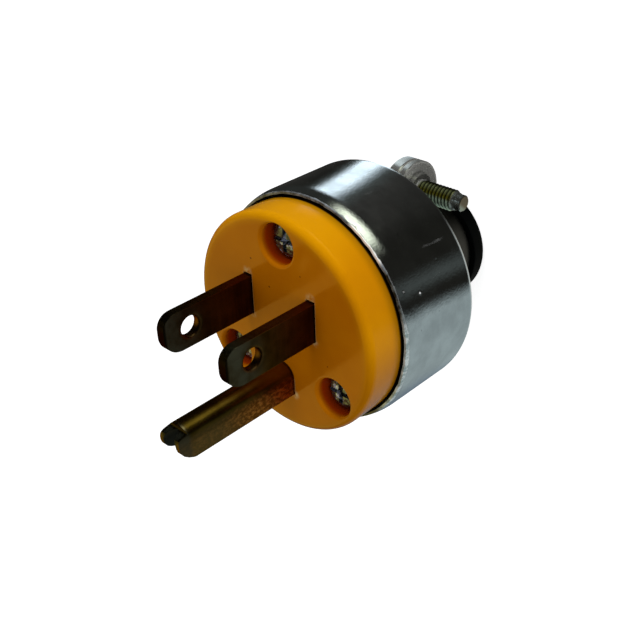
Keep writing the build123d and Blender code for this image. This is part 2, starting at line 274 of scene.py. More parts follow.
class Signal:
    """A shader socket that can be used in plain arithmetic."""

    def __init__(self, owner, socket):
        self.owner = owner
        self.socket = socket

    def calc(self, operation, *terms):
        return self.owner.node("ShaderNodeMath", {"operation": operation}, dict(enumerate(terms)))

    def __add__(self, other):
        return self.calc("ADD", self, other)

    __radd__ = __add__

    def __sub__(self, other):
        return self.calc("SUBTRACT", self, other)

    def __rsub__(self, other):
        return self.calc("SUBTRACT", other, self)

    def __mul__(self, other):
        return self.calc("MULTIPLY", self, other)

    __rmul__ = __mul__

    def __truediv__(self, other):
        return self.calc("DIVIDE", self, other)

    def __pow__(self, other):
        return self.calc("POWER", self, other)

    def most(self, other):
        return self.calc("MAXIMUM", self, other)

    def size(self):
        return self.calc("ABSOLUTE", self)

    def hypot(self, other):
        """Length of the long side of a square-cornered triangle with these two sides."""
        return (self ** 2 + other ** 2) ** 0.5

    def rise(self, low, high):
        """0 below low, 1 above high and a soft step between; low may be above high for a fall."""
        if low > high:
            return 1 - self.rise(high, low)
        return self.owner.node(
            "ShaderNodeMapRange", {"interpolation_type": "SMOOTHSTEP"},
            {0: self, 1: low, 2: high, 3: 0.0, 4: 1.0},
        )


class Nodes:
    """A node tree, emptied and then filled by one method."""

    def __init__(self, owner):
        owner.use_nodes = True
        self.tree = owner.node_tree
        self.tree.nodes.clear()

    def node(self, kind, settings, sockets, output=0):
        """Adds a node: its settings or ramp stops first, then values or links for its sockets."""
        made = self.tree.nodes.new(kind)
        for key, value in settings.items():
            if key == "stops":
                ramp = made.color_ramp.elements
                while len(ramp) < len(value):
                    ramp.new(0.5)
                for stop, (position, color) in zip(ramp, value):
                    stop.position = position
                    stop.color = color
            else:
                setattr(made, key, value)
        for key, value in sockets.items():
            self.feed(made.inputs[key], value)
        return Signal(self, made.outputs[output])

    def feed(self, socket, value):
        if isinstance(value, Signal):
            self.tree.links.new(value.socket, socket)
        else:
            socket.default_value = value

    def seen(self):
        """1 for rays from the camera, from reflections and through clear stuff, and 0 for all others."""
        rays = ("Is Camera Ray", "Is Glossy Ray", "Is Transmission Ray")
        camera_ray, glossy_ray, clear_ray = (self.node("ShaderNodeLightPath", {}, {}, ray) for ray in rays)
        return camera_ray.most(glossy_ray).most(clear_ray)


class Finish(Nodes):
    """A Principled material on Object coordinates, turned so that they read as the pieces are drawn."""

    def __init__(self, name, **shader):
        self.material = bpy.data.materials.new(name)
        super().__init__(self.material)
        output = self.tree.nodes.new("ShaderNodeOutputMaterial")
        self.shader = self.tree.nodes.new("ShaderNodeBsdfPrincipled")
        self.tree.links.new(self.shader.outputs[0], output.inputs[0])
        upright = self.node("ShaderNodeTexCoord", {}, {}, "Object")
        self.place = self.node("ShaderNodeMapping", {}, {"Vector": upright, "Rotation": (pi / 2, 0, 0)})
        self.set(**shader)

    def set(self, **values):
        for key, value in values.items():
            self.feed(self.shader.inputs[key.replace("_", " ").title().replace("Ior", "IOR")], value)

    def stretched(self, factors, where=None, turn=0.0):
        """Coordinates scaled by a factor on each axis and turned about Z."""
        sockets = {"Vector": where or self.place, "Scale": factors, "Rotation": (0, 0, turn)}
        return self.node("ShaderNodeMapping", {}, sockets)

    def noise(self, per_metre, detail=3.0, rough=0.55, where=None):
        place = where or self.place
        sockets = {"Vector": place, "Scale": per_metre, "Detail": detail, "Roughness": rough}
        return self.node("ShaderNodeTexNoise", {}, sockets)

    def cells(self, per_metre):
        return self.node("ShaderNodeTexVoronoi", {}, {"Vector": self.place, "Scale": per_metre}, "Distance")

    def bearing(self):
        """Bearing round the plug's axis, from 0 at -180 degrees to 1 at 180, with 0.5 along +X."""
        return self.axis("Z").calc("ARCTAN2", self.axis("Z"), self.axis("X")) / FULL_TURN + 0.5

    def axis(self, letter):
        """Place along one axis, in metres."""
        return self.node("ShaderNodeSeparateXYZ", {}, {0: self.place}, letter)

    def mm(self, letter):
        """Place along one axis, in millimetres."""
        return self.axis(letter) * MM_PER_METRE

    def away(self, x, y, z):
        """Distance in millimetres from a point given in millimetres."""
        spot = (x * MM, y * MM, z * MM)
        gap = self.node("ShaderNodeVectorMath", {"operation": "DISTANCE"}, {0: self.place, 1: spot}, "Value")
        return gap * MM_PER_METRE

    def off_axis(self):
        """Distance from the plug's axis in millimetres."""
        return self.axis("X").hypot(self.axis("Z")) * MM_PER_METRE

    def hole_gap(self):
        """Distance outwards from the wall of a blade's hole, in millimetres."""
        along = self.mm("Y") - HOLE_Y
        up = self.mm("Z") - BLADE_Z
        return along.hypot(up) - BLADE_HOLE_RADIUS

    def ear_gap(self):
        """Distance outwards from the rim of a clamp ear, in millimetres."""
        up = self.mm("Z").size() - EAR_Z
        along = self.mm("Y") - CLAMP_SCREW_Y
        return up.hypot(along) - EAR_RADIUS

    def slot_gap(self, x, half_width, z, half_height):
        """Distance outwards from a straight-sided slot in the face, in millimetres."""
        across = (self.mm("X") - x).size() - half_width
        along = (self.mm("Z") - z).size() - half_height
        return across.most(along)

    def wrapped(self):
        """Place unrolled round the plug's axis: arc length on the shell, distance along, distance out."""
        arc = self.bearing() * (FULL_TURN * SHELL_RADIUS * MM)
        out = self.off_axis() * MM
        return self.node("ShaderNodeCombineXYZ", {}, {0: arc, 1: self.axis("Y"), 2: out})

    def mix(self, factor, low, high):
        """Blends two colours by a mask."""
        return self.node("ShaderNodeMix", {"data_type": "RGBA"}, {0: factor, 6: low, 7: high}, 2)

    def bump(self, height, depth_mm):
        sockets = {"Height": height, "Distance": depth_mm * MM, "Strength": 1.0}
        self.set(normal=self.node("ShaderNodeBump", {}, sockets))


def moulded_plastic():
    """Orange-yellow plastic: face painted darker and redder as shade, yellower side painted lighter on top
    and darker below, pale stress marks, a few dark specks.
    """
    finish = Finish("moulded_plastic", specular_ior_level=0.25, specular_tint=tint(255, 186, 20), ior=1.5)
    depth = finish.mm("Y")
    out = finish.off_axis()
    flow = finish.noise(90, 3)
    # Painted shade: the face's colour is darker and redder than the side's
    top = finish.mix(flow.rise(0.35, 0.7), tint(182, 102, 2), tint(191, 111, 2))
    band = finish.mix(flow.rise(0.35, 0.7), tint(200, 128, 2), tint(210, 138, 2))
    height = finish.mm("Z")
    # Painted light: the side is lighter towards the top and darker towards the underside
    band = finish.mix(height.rise(12.0, 17.5), band, tint(214, 146, 2))
    band = finish.mix(height.rise(4.0, -6.0), band, tint(174, 108, 1))
    color = finish.mix(out.rise(15.4, 17.6), top, band)
    # Painted shade: darker, deeper red on the counterbore walls
    color = finish.mix(depth.rise(0.2, 1.4) * out.rise(17.2, 16.6), color, tint(164, 54, 1))
    # Pale stress marks where the prongs leave the face, and painted highlights along the slot rims
    stress = finish.away(2.5, 0, PIN_Z - 2.5).rise(1.1, 0.2)
    below = height.rise(PIN_Z + 0.6, PIN_Z - 0.2)
    # Painted highlight along the rim of each slot
    rim = finish.slot_gap(0, PIN_RADIUS, PIN_Z, PIN_LEG).rise(0.3, 0.12) * below * 0.5
    for x in (-BLADE_X, BLADE_X):
        stress = stress.most(finish.away(x + 0.1, 0, BLADE_Z + 3.7).rise(1.2, 0.1))
        stress = stress.most(finish.away(x + 0.7, 0, BLADE_Z - 3.3).rise(0.9, 0.1))
        rim = rim.most(finish.slot_gap(x, 0.75, BLADE_Z, BLADE_WIDTH / 2).rise(0.3, 0.12) * 0.5)
    stress = (stress * finish.noise(1200, 2).rise(0.3, 0.7)).most(rim) * depth.rise(0.5, 0.1)
    color = finish.mix(stress * 0.7, color, tint(222, 196, 140))
    # Dark specks, a painted shadow on the side towards the shell, and near-black painted shadow in the gap
    # under the shell's lip
    specks = finish.away(-5.39, 0, 9.37).rise(0.22, 0.1)
    for x, z, radius in ((-1.81, 5.91, 0.14), (4.6, 9.8, 0.1), (-11.5, 2.4, 0.1), (9.4, -3.1, 0.1)):
        specks = specks.most(finish.away(x, 0, z).rise(radius + 0.08, radius - 0.06))
    color = finish.mix(specks * 0.8, color, tint(70, 30, 4))
    shade = depth.rise(4.4, 6.3) * out.rise(17.0, 17.4)
    color = finish.mix(shade * 0.55, color, tint(128, 88, 2))
    # Painted shadow: near black in the gap under the shell's lip
    gap_shadow = depth.rise(6.1, 6.45) * out.rise(17.0, 17.4)
    color = finish.mix(gap_shadow, color, tint(8, 5, 2))
    finish.set(base_color=color, roughness=0.1 + flow * 0.07 + gap_shadow * 0.6)
    finish.bump(finish.noise(130, 2) * 0.9 + finish.noise(2500, 2) * 0.03, 0.04)
    return finish.material


def plated_steel(name, bright, dull, rough):
    """Zinc plate with clouding, haze, a fine grain and short scuffs laid out round the plug's axis."""
    finish = Finish(name)
    cloud = finish.noise(220, 4)
    haze = finish.noise(420, 5, 0.7).rise(0.42, 0.72)
    wall = finish.wrapped()
    scuff = finish.noise(800, 2, 0.5, finish.stretched((1, 0.15, 1), wall, 0.5)).rise(0.68, 0.78)
    scuff = scuff.most(finish.noise(1000, 2, 0.5, finish.stretched((0.15, 1, 1), wall, -0.3)).rise(0.7, 0.8))
    grain = finish.noise(2600, 3, 0.7)
    color = finish.mix(cloud.rise(0.3, 0.7), dull, bright)
    color = finish.mix(finish.noise(700, 2, 0.6).rise(0.72, 0.78) * 0.5, color, tint(90, 92, 92))
    metal = 1.0 - scuff * 0.06
    return finish, color, metal, cloud, grain, scuff, rough + cloud * 0.05 + haze * 0.08 + scuff * 0.1


def shell_steel():
    """Bright zinc plate with a worn, burred lip, painted reflections and a painted highlight on its edge,
    painted shade inside and low on the lip, and three dents with a painted glint in each.
    """
    finish, color, metal, cloud, grain, scuff, rough = plated_steel(
        "shell_steel", tint(226, 228, 228), tint(200, 202, 202), 0.05)
    depth = finish.mm("Y")
    bearing = finish.bearing()
    # Lip: its edge made less metallic and given painted reflections, dark at its side, pale and speckled
    # lower down, and a painted highlight where it faces the window
    burr = finish.noise(1000, 3, 0.65)
    lower = bearing.rise(0.555, 0.52)
    edge = (depth - lower * 0.35 - burr * 0.5).rise(6.55, 6.35)
    shiny = bearing.rise(0.612, 0.622) * bearing.rise(0.682, 0.672)
    worn = finish.mix(burr.rise(0.35, 0.65), tint(58, 63, 68), tint(126, 134, 142))
    dull = finish.mix(burr.rise(0.45, 0.65), tint(26, 31, 31), tint(96, 103, 102))
    worn = finish.mix(bearing.rise(0.61, 0.6), worn, dull)
    worn = finish.mix(lower, worn, finish.mix(burr.rise(0.4, 0.6), tint(150, 168, 168), tint(216, 226, 226)))
    worn = finish.mix(shiny, worn, tint(255, 255, 252))
    color = finish.mix(edge, color, worn)
    # Painted shade: the lowest part of the lip darker and less metallic
    lower_lip_shade = depth.rise(9.6, 7.6) * bearing.rise(0.4, 0.37) * bearing.rise(0.15, 0.2)
    color = finish.mix(lower_lip_shade, color, tint(52, 56, 52))
    # Inside of the lip painted near black as shadow, then the dents with a painted glint in each
    inside = depth.rise(9.0, 8.5) * finish.off_axis().rise(18.08, 18.0)
    color = finish.mix(inside, color, tint(4, 4, 4))
    first, second = finish.away(17.3, 10.72, 7.29), finish.away(16.74, 7.84, 8.49)
    dents = first.rise(0.45, 0.1).most(second.rise(0.35, 0.05))
    dents = dents.most(finish.away(15.9, 16.1, 9.9).rise(0.25, 0.05))
    spot = first.rise(0.22, 0.1).most(second.rise(0.24, 0.1) * 0.3)
    color = finish.mix(spot, color, tint(255, 255, 255))
    shine = metal - edge.most(spot).most(lower_lip_shade) * 0.75 - lower_lip_shade * 0.2
    finish.set(base_color=color, roughness=rough + edge * 0.3, metallic=shine)
    wave = finish.noise(170, 2) * 1.3
    finish.bump(wave + cloud * 0.3 + grain * 0.9 + scuff * 0.06 + edge * burr * 2.0 - dents * 1.5, 0.025)
    return finish.material


def clamp_steel():
    """Duller plate, with a tube painted dark as shade, ears with a painted highlight at the rim and a painted
    dark edge, and painted shade round the screw.
    """
    finish, color, metal, cloud, grain, scuff, rough = plated_steel(
        "clamp_steel", tint(246, 246, 240), tint(226, 225, 218), 0.2)
    # Painted shade: the tube darkened
    tube = finish.off_axis().rise(9.5, 9.2) * finish.mm("Y").rise(23.0, 23.6)
    color = finish.mix(tube, color, tint(84, 82, 78))
    ear = finish.ear_gap()
    # Painted highlight along the rim of each ear
    rim_highlight = ear.rise(-0.5, -0.3) * ear.rise(-0.05, -0.2) * (1 - tube) * 0.6
    color = finish.mix(rim_highlight, color, tint(255, 254, 248))
    # Painted shade: a dark line at the edge of each ear
    color = finish.mix(ear.rise(-0.12, -0.02) * (1 - tube) * 0.5, color, tint(90, 90, 84))
    # Painted shade round the screw on each ear
    bore = (finish.mm("Z").size() - CLAMP_SCREW_Z).hypot(finish.mm("Y") - CLAMP_SCREW_Y)
    color = finish.mix(bore.rise(3.2, 2.3) * (1 - tube) * 0.75, color, tint(48, 48, 44))
    shine = metal - (1 - tube) * 0.2 - rim_highlight * 0.15
    finish.set(base_color=color, roughness=rough + tube * 0.2, metallic=shine)
    finish.bump(finish.noise(260, 2) * 1.2 + cloud * 0.3 + grain * 0.2 + scuff * 0.1, 0.025)
    return finish.material


def tarnished_brass():
    """Dark brown blades, greyer towards the tip, with a painted coppery sheen on the narrow sides, coppery at
    the hole's rim, and the tip's end painted dark as shade.
    """
    finish = Finish("tarnished_brass", metallic=1.0, specular_tint=tint(180, 150, 100))
    y = finish.mm("Y")
    z = finish.mm("Z")
    cloud = finish.noise(260, 4)
    grain = finish.noise(900, 3, 0.6, finish.stretched((1, 0.12, 1)))
    brush = finish.noise(1500, 2, 0.6, finish.stretched((1, 1, 0.06)))
    color = finish.mix(cloud.rise(0.35, 0.7), tint(54, 38, 13), tint(80, 58, 26))
    color = finish.mix(brush.rise(0.45, 0.65) * y.rise(-11.0, -5.0) * 0.3, color, tint(98, 70, 34))
    worn = y.rise(-8.5, -14.0) * cloud.rise(0.25, 0.6)
    color = finish.mix(worn * 0.7, color, tint(88, 88, 74))
    # Painted light: a coppery sheen on the narrow sides, fading towards the tip
    narrow = (z - BLADE_Z).size().rise(3.0, 3.12) * y.rise(-15.5, -9.0)
    color = finish.mix(narrow * 0.5, color, tint(120, 78, 30))
    rim = finish.hole_gap().rise(0.5, 0.2) * finish.hole_gap().rise(-0.4, 0.0)
    color = finish.mix(rim * 0.3, color, tint(140, 96, 48))
    # Painted shade: the tip's end face darkened
    color = finish.mix(y.rise(-16.1, -16.5), color, tint(28, 25, 18))
    finish.set(base_color=color, roughness=0.28 + grain * 0.25)
    finish.bump(grain * 0.4 + brush * 0.2 + cloud * 0.4, 0.03)
    return finish.material


def pin_brass():
    """Folded strip: olive gold on the rolled arch, speckled coppery brown on the flanks, grey at the nose;
    painted shade where the arch meets the flanks and inside the fold, and a painted highlight above the nose.
    """
    finish = Finish("pin_brass", metallic=1.0, specular_tint=tint(200, 170, 110))
    height = finish.mm("Z")
    y = finish.mm("Y")
    cloud = finish.noise(300, 4)
    grain = finish.noise(1100, 3, 0.6, finish.stretched((1, 0.1, 1)))
    speck = finish.noise(2300, 3, 0.7, finish.stretched((1, 0.6, 1))).rise(0.4, 0.66)
    arch = finish.mix(cloud.rise(0.3, 0.7), tint(82, 64, 18), tint(108, 86, 32))
    arch = finish.mix(y.rise(-12.0, -4.0) * 0.7, arch, tint(126, 92, 30))
    flank = finish.mix(speck, tint(116, 68, 26), tint(188, 118, 56))
    flank = finish.mix(y.rise(-7.0, -16.0) * 0.75, flank, tint(104, 88, 52))
    color = finish.mix(height.rise(PIN_Z + 1.3, PIN_Z + 0.2), arch, flank)
    # Painted shade: a dark band where the arch meets the flank
    arch_shade = height.rise(PIN_Z + 1.9, PIN_Z + 1.2) * height.rise(PIN_Z - 0.4, PIN_Z + 0.3)
    color = finish.mix(arch_shade * 0.45, color, tint(34, 26, 8))
    color = finish.mix(y.rise(-19.4, -20.4) * 0.6, color, tint(74, 70, 58))
    # Inside of the fold painted dark grey as shade, and a pale painted highlight on the arch's front edge
    # above the nose
    inner = finish.slot_gap(0, PIN_RADIUS - PIN_SHEET, PIN_Z, PIN_RADIUS - PIN_SHEET - 0.1).rise(0.12, 0.0)
    inner = inner.most(finish.slot_gap(0, PIN_RADIUS - PIN_SHEET, PIN_Z - 2, 2.2).rise(0.1, 0.0))
    color = finish.mix(inner, color, tint(84, 84, 78))
    brink_highlight = height.rise(PIN_Z + 1.3, PIN_Z + 1.5) * y.rise(1.9 - PIN_LENGTH, 2.0 - PIN_LENGTH)
    color = finish.mix(brink_highlight * y.rise(2.3 - PIN_LENGTH, 2.1 - PIN_LENGTH) * 0.6, color, tint(130, 118, 88))
    low = height.rise(PIN_Z + 0.5, PIN_Z)
    finish.set(base_color=color, roughness=0.24 + grain * 0.16 + low * 0.1 + inner * 0.3)
    finish.bump(grain * 0.4 + cloud * 0.3 + speck * low * 0.3, 0.03)
    return finish.material


def zinc_screw():
    """Rough bright zinc with painted sparkle highlights, and a recess painted darker and duller as shade."""
    finish = Finish("zinc_screw")
    depth = finish.mm("Y")
    rough = finish.cells(1300)
    fine = finish.noise(2600, 3, 0.7)
    # Painted shade: the recess darker and duller
    low = depth.rise(2.3, 2.7)
    # Painted highlight: small bright sparkles
    sparkle_highlight = finish.noise(900, 2, 0.6).rise(0.54, 0.62)
    color = finish.mix(low, tint(116, 126, 138), tint(90, 94, 90))
    color = finish.mix(sparkle_highlight, color, tint(204, 218, 240))
    finish.set(base_color=color, roughness=0.2 + fine * 0.3, metallic=0.9 - low * 0.3 - sparkle_highlight * 0.5)
    finish.bump(rough * 1.4 + fine * 0.4, 0.14)
    return finish.material


def chromate_screw():
    """Olive yellow plate with painted light, paler low on the screw and dark along its top, dark painted
    roots between the crests and a painted highlight on the shank by the clamp; bare metal on the dog point.
    """
    finish = Finish("chromate_screw")
    x = finish.mm("X")
    along = finish.mm("Y") - CLAMP_SCREW_Y
    height = finish.mm("Z").size() - CLAMP_SCREW_Z
    out = along.hypot(height)
    round_side = (along * 0.646 + height * 0.763) / 1.6
    cloud = finish.noise(500, 3)
    # Painted light: olive in the middle, paler on the screw's lower side and dark along its top
    color = finish.mix(round_side.rise(0.4, -0.15), tint(126, 134, 92), tint(96, 90, 10))
    color = finish.mix(cloud.rise(0.35, 0.7) * 0.3, color, tint(124, 118, 44))
    color = finish.mix(round_side.rise(-0.25, -0.6), color, tint(176, 198, 174))
    color = finish.mix(round_side.rise(0.55, 0.85), color, tint(34, 36, 16))
    # Painted shade: dark roots between the crests
    crest = out.rise(1.46, 1.64)
    color = finish.mix((1 - crest) * 0.8, color, tint(18, 19, 5))
    # Painted highlight on the shank by the clamp
    shank_highlight = x.rise(2.4, 2.0) * x.rise(0.0, 0.5)
    bare = x.rise(8.5, 8.9)
    color = finish.mix(shank_highlight * 0.9, color, tint(255, 255, 252))
    color = finish.mix(bare, color, tint(190, 194, 188))
    # Painted light: the point's end face paler on its lower side
    end = x.rise(10.2, 10.28)
    flat = finish.mix(round_side.rise(-0.1, -0.6), tint(128, 112, 90), tint(172, 176, 160))
    color = finish.mix(end, color, flat)
    shine = 0.62 + bare * 0.34 - shank_highlight * 0.3
    finish.set(base_color=color, roughness=0.2 + cloud * 0.12, metallic=shine)
    finish.bump(finish.noise(2400, 2), 0.02)
    return finish.material


def rubber():
    """Dull black, faintly clouded."""
    finish = Finish("black_rubber", specular_ior_level=0.04)
    cloud = finish.noise(400, 3)
    finish.set(base_color=finish.mix(cloud, tint(2, 3, 3), tint(6, 8, 7)), roughness=0.6 + cloud * 0.2)
    finish.bump(finish.noise(1800, 3), 0.03)
    return finish.material


def fibre():
    """Grey-brown vulcanised fibre with threads that run one way."""
    finish = Finish("vulcanised_fibre", specular_ior_level=0.3)
    thread = finish.noise(700, 4, 0.6, finish.stretched((1, 0.2, 1)))
    color = finish.mix(thread, tint(86, 74, 62), tint(128, 112, 92))
    finish.set(base_color=color, roughness=0.6 + thread * 0.2)
    finish.bump(thread, 0.04)
    return finish.material


def screw_metal(name, first, second):
    """Plain clouded metal for the terminal screws."""
    finish = Finish(name, metallic=1.0)
    cloud = finish.noise(600, 3)
    finish.set(base_color=finish.mix(cloud.rise(0.3, 0.7), first, second), roughness=0.24 + cloud * 0.18)
    finish.bump(finish.noise(2200, 2), 0.02)
    return finish.material


# Pieces

def drill(radius, start, end, steps=32):
    """Cutter for a round hole along Y."""
    return turned([(0, start), (radius, start), (radius, end), (0, end)], steps, closed=False)


def sleeve(inner, outer, start, end, steps=48):
    """Straight tube along Y."""
    return turned([(inner, start), (outer, start), (outer, end), (inner, end)], steps)


def face_body():
    """Moulded disc and skirt, cut for the screws and prongs, with a boss and a rib at each long screw."""
    bm = turned([
        (0, 0), (BODY_RADIUS, 0), (BODY_RADIUS, BODY_LENGTH), (CAVITY_RADIUS, BODY_LENGTH),
        (CAVITY_RADIUS, FACE_WALL), (0, FACE_WALL),
    ], steps=144, closed=False)
    soften(bm, 1.25, 7, lambda p: p.y < 0.1 and p.xz.length > 17)
    soften(bm, 0.5, 2, lambda p: p.y > BODY_LENGTH - 0.1 and p.xz.length > 17)
    in_front, behind = -1, 9
    cutters = []
    flare = 0.55
    curve = [(COUNTERBORE_RADIUS + flare * (1 - cos(a)), flare * (1 - sin(a))) for a in steps_of(pi / 2, 6)]
    well = [(0, COUNTERBORE_DEPTH), (COUNTERBORE_RADIUS, COUNTERBORE_DEPTH), *curve]
    well += [(curve[-1][0], in_front), (0, in_front)]
    for x, z in BOLTS.values():
        cutters.append(moved(turned(well, 64, closed=False), (x, 0, z)))
        cutters.append(moved(drill(BOLT_HOLE_RADIUS, COUNTERBORE_DEPTH - 1, behind), (x, 0, z)))
    half_slot = BLADE_THICKNESS / 2 + SLOT_CLEARANCE
    half_width = BLADE_WIDTH / 2 + SLOT_CLEARANCE
    corners = ((1, 1), (-1, 1), (-1, -1), (1, -1))
    for x in (-BLADE_X, BLADE_X):
        slot = [(x + dx * half_slot, BLADE_Z + dz * half_width) for dx, dz in corners]
        cutters += [plate(slot, in_front, behind, "Y"), flared(slot)]
    half = PIN_RADIUS + SLOT_CLEARANCE
    low = PIN_Z - PIN_LEG - SLOT_CLEARANCE
    arch = [(half * cos(a), PIN_Z + half * sin(a)) for a in steps_of(pi, 24)] + [(-half, low), (half, low)]
    cutters += [plate(arch, in_front, behind, "Y"), flared(arch)]
    bm = carved(bm, cutters)
    inner = []
    rib_start, rib_end = 5.4, 9.8
    for x, z in BOLTS.values():
        boss = sleeve(BOLT_HOLE_RADIUS, BOSS_RADIUS, FACE_WALL - 0.5, BOSS_END)
        soften(boss, 0.2, 2, lambda p: p.y > BOSS_END - 0.2)
        inner.append(moved(boss, (x, 0, z)))
        rib_low, rib_high = FACE_WALL - 0.2, BODY_LENGTH
        rib = block(
            (rib_end - rib_start, rib_high - rib_low, RIB_WIDTH),
            ((rib_start + rib_end) / 2, (rib_low + rib_high) / 2, 0),
        )
        turn = Matrix.Rotation(-Vector((x, z)).angle_signed(Vector((1, 0))), 3, "Y")
        inner.append(moved(rib, turn=turn))
    return joined(bm, *inner)


def flared(outline, depth=0.16, flare=0.16):
    """Cutter that breaks the edge of a slot in the face."""
    bm = plate(outline, -depth, depth, "Y")
    middle = sum((v.co for v in bm.verts), Vector()) / len(bm.verts)
    for vert in bm.verts:
        if vert.co.y < 0:
            out = Vector((vert.co.x - middle.x, 0, vert.co.z - middle.z)).normalized()
            vert.co += out * 2 * flare
    return bm


def shell_bend(radius, steps):
    """Points of the shell's rounded back corner at one radius, from its back wall to its side."""
    across, along = SHELL_RADIUS - SHELL_CORNER, SHELL_BACK - SHELL_CORNER
    return [(across + radius * sin(a), along + radius * cos(a)) for a in steps_of(pi / 2, steps)]


def steel_shell():
    """Drawn cup with a curved lip whose edge is a little wavy and dented, and three collars inside."""
    lip_end = SHELL_FRONT + LIP_LENGTH
    swell = SHELL_RADIUS - LIP_RADIUS
    profile = [
        (LIP_RADIUS + swell * (1 - (1 - t) ** 2), SHELL_FRONT + LIP_LENGTH * t) for t in steps_of(1, 6)
    ]
    profile += shell_bend(SHELL_CORNER, 8)[::-1]
    profile += [(SHELL_OPENING, SHELL_BACK), (SHELL_OPENING, SHELL_BACK - SHELL_SHEET)]
    profile += shell_bend(SHELL_CORNER - SHELL_SHEET, 6)
    profile += [(SHELL_RADIUS - SHELL_SHEET, lip_end), (17.98, SHELL_FRONT + 0.12), (18.03, SHELL_FRONT)]
    bm = turned(profile, 256)
    for vert in bm.verts:
        if vert.co.y < SHELL_FRONT + 0.3:
            angle = vert.co.xz.angle_signed(Vector((1, 0)))
            wave = sin(23 * angle) * sin(9 * angle + 1) + 0.6 * sin(57 * angle + 2)
            dent = max(0.0, 1 - abs(angle + radians(62.7)) / 0.045)
            vert.co.y += 0.05 * wave + 0.16 * dent
            vert.co.x *= 1 + 0.0015 * wave - 0.004 * dent
            vert.co.z *= 1 + 0.0015 * wave - 0.004 * dent
    places = [(x, 0, z) for x, z in BOLTS.values()]
    bm = carved(bm, [moved(drill(COLLAR_RADIUS, 20.5, SHELL_BACK + 1, 40), place) for place in places])
    collar = (COLLAR_RADIUS, COLLAR_OUTER_RADIUS, COLLAR_START, SHELL_BACK - 0.5, 40)
    return joined(bm, *(moved(sleeve(*collar), place) for place in places))


def blade(side):
    """Flat blade with its foot bent outwards, on the side given as -1 or 1."""
    middle = side * BLADE_X
    inner = middle - side * BLADE_THICKNESS / 2
    outer = middle + side * BLADE_THICKNESS / 2
    foot_end = middle + side * TERMINAL_FOOT
    foot_top = FACE_WALL + BLADE_THICKNESS
    outline = [(inner, -BLADE_LENGTH), (outer, -BLADE_LENGTH), (outer, FACE_WALL), (foot_end, FACE_WALL),
               (foot_end, foot_top), (inner, foot_top)]
    low, high = BLADE_Z - BLADE_WIDTH / 2, BLADE_Z + BLADE_WIDTH / 2
    bm = plate(outline, low, high, "Z")
    soften(bm, 1.2, 5, lambda p: abs(p.y - foot_top) < 0.01 and abs(p.x - inner) < 0.01)
    soften(bm, 2.2, 12, lambda p: p.y < 0.01 - BLADE_LENGTH and p.z > high - 0.01)
    soften(bm, 3.0, 12, lambda p: p.y < 0.01 - BLADE_LENGTH and p.z < low + 0.01)
    soften(bm, 0.55, 5, lambda p: p.y < -14 and abs(abs(p.x - middle) - BLADE_THICKNESS / 2) < 0.01)
    soften(bm, 0.1, 2, lambda p: p.y > -14.6)
    half = BLADE_THICKNESS / 2
    rim = [(0, -2), (2.3, -2), (2.3, -half), (1.95, -half), (1.72, 0.1 - half)]
    rim.append((BLADE_HOLE_RADIUS, 0.3 - half))
    rim += [(radius, -y) for radius, y in reversed(rim)]
    hole = moved(turned(rim, 48, closed=False), (middle, HOLE_Y, BLADE_Z), TO_X)
    screw_hole = drill(BOLT_HOLE_RADIUS, FACE_WALL - 0.5, foot_top + 1)
    return carved(bm, [hole, moved(screw_hole, (side * TERMINAL_X, 0, BLADE_Z))])


def ground_pin():
    """Strip folded round the arch, its nose cut back at the arch and rounded below the legs."""
    middle = PIN_RADIUS - PIN_SHEET / 2
    low = PIN_Z - PIN_LEG
    bm = bmesh.new()
    right_low = bm.verts.new((middle, -PIN_LENGTH, low))
    right_high = bm.verts.new((middle, -PIN_LENGTH, PIN_Z))
    bm.edges.new((right_low, right_high))
    arch = bmesh.ops.spin(
        bm, geom=[right_high], cent=(0, -PIN_LENGTH, PIN_Z), axis=(0, 1, 0), angle=-pi, steps=28,
    )["geom_last"]
    left_high = [v for v in arch if isinstance(v, bmesh.types.BMVert)][0]
    bm.edges.new((left_high, bm.verts.new((-middle, -PIN_LENGTH, low))))
    grown = bmesh.ops.extrude_edge_only(bm, edges=bm.edges[:])["geom"]
    length = PIN_LENGTH + FACE_WALL + PIN_SHEET
    bmesh.ops.translate(bm, vec=(0, length, 0), verts=[v for v in grown if isinstance(v, bmesh.types.BMVert)])
    strip = as_object(bm, "strip")
    sheet = strip.modifiers.new("sheet", "SOLIDIFY")
    sheet.thickness = PIN_SHEET
    sheet.offset = 0
    sheet.use_even_offset = True
    solid = bmesh.new()
    mesh = baked(strip, "strip")
    solid.from_mesh(mesh)
    bpy.data.meshes.remove(mesh)
    bmesh.ops.recalc_face_normals(solid, faces=solid.faces)
    nose = -PIN_LENGTH
    # Outline of the nose's cut: distances back from the nose and up from the arch's centre
    curve = [(1.7, 2.6), (1.8, 2.38), (1.92, 2.0), (2.05, 1.7), (1.9, 1.48), (1.3, 1.32), (0.75, 1.2),
             (0.42, 1.02), (0.25, 0.7), (0.2, 0.2), (0.26, -0.4), (0.45, -1.0), (0.85, -1.55), (1.5, -2.02),
             (2.2, -2.35), (2.7, -2.53), (2.7, -3.6), (-1.0, -3.6), (-1.0, 2.6)]
    solid = carved(solid, [plate([(nose + ahead, PIN_Z + up) for ahead, up in curve], -4, 4, "X")])
    soften(solid, 0.2, 3, lambda p: p.y < -1, 50)
    for vert in solid.verts:
        lead = max(0.0, (nose + 2.4 - vert.co.y) / 2.4)
        vert.co.x *= 1 - 0.16 * lead * lead
    foot = sleeve(BOLT_HOLE_RADIUS, GROUND_FOOT_RADIUS, FACE_WALL, FACE_WALL + PIN_SHEET)
    neck = block((2 * GROUND_FOOT_RADIUS, PIN_SHEET, 2.6), (0, FACE_WALL + PIN_SHEET / 2, -5.6))
    return joined(solid, moved(foot, (0, 0, GROUND_TERMINAL_Z)), neck)


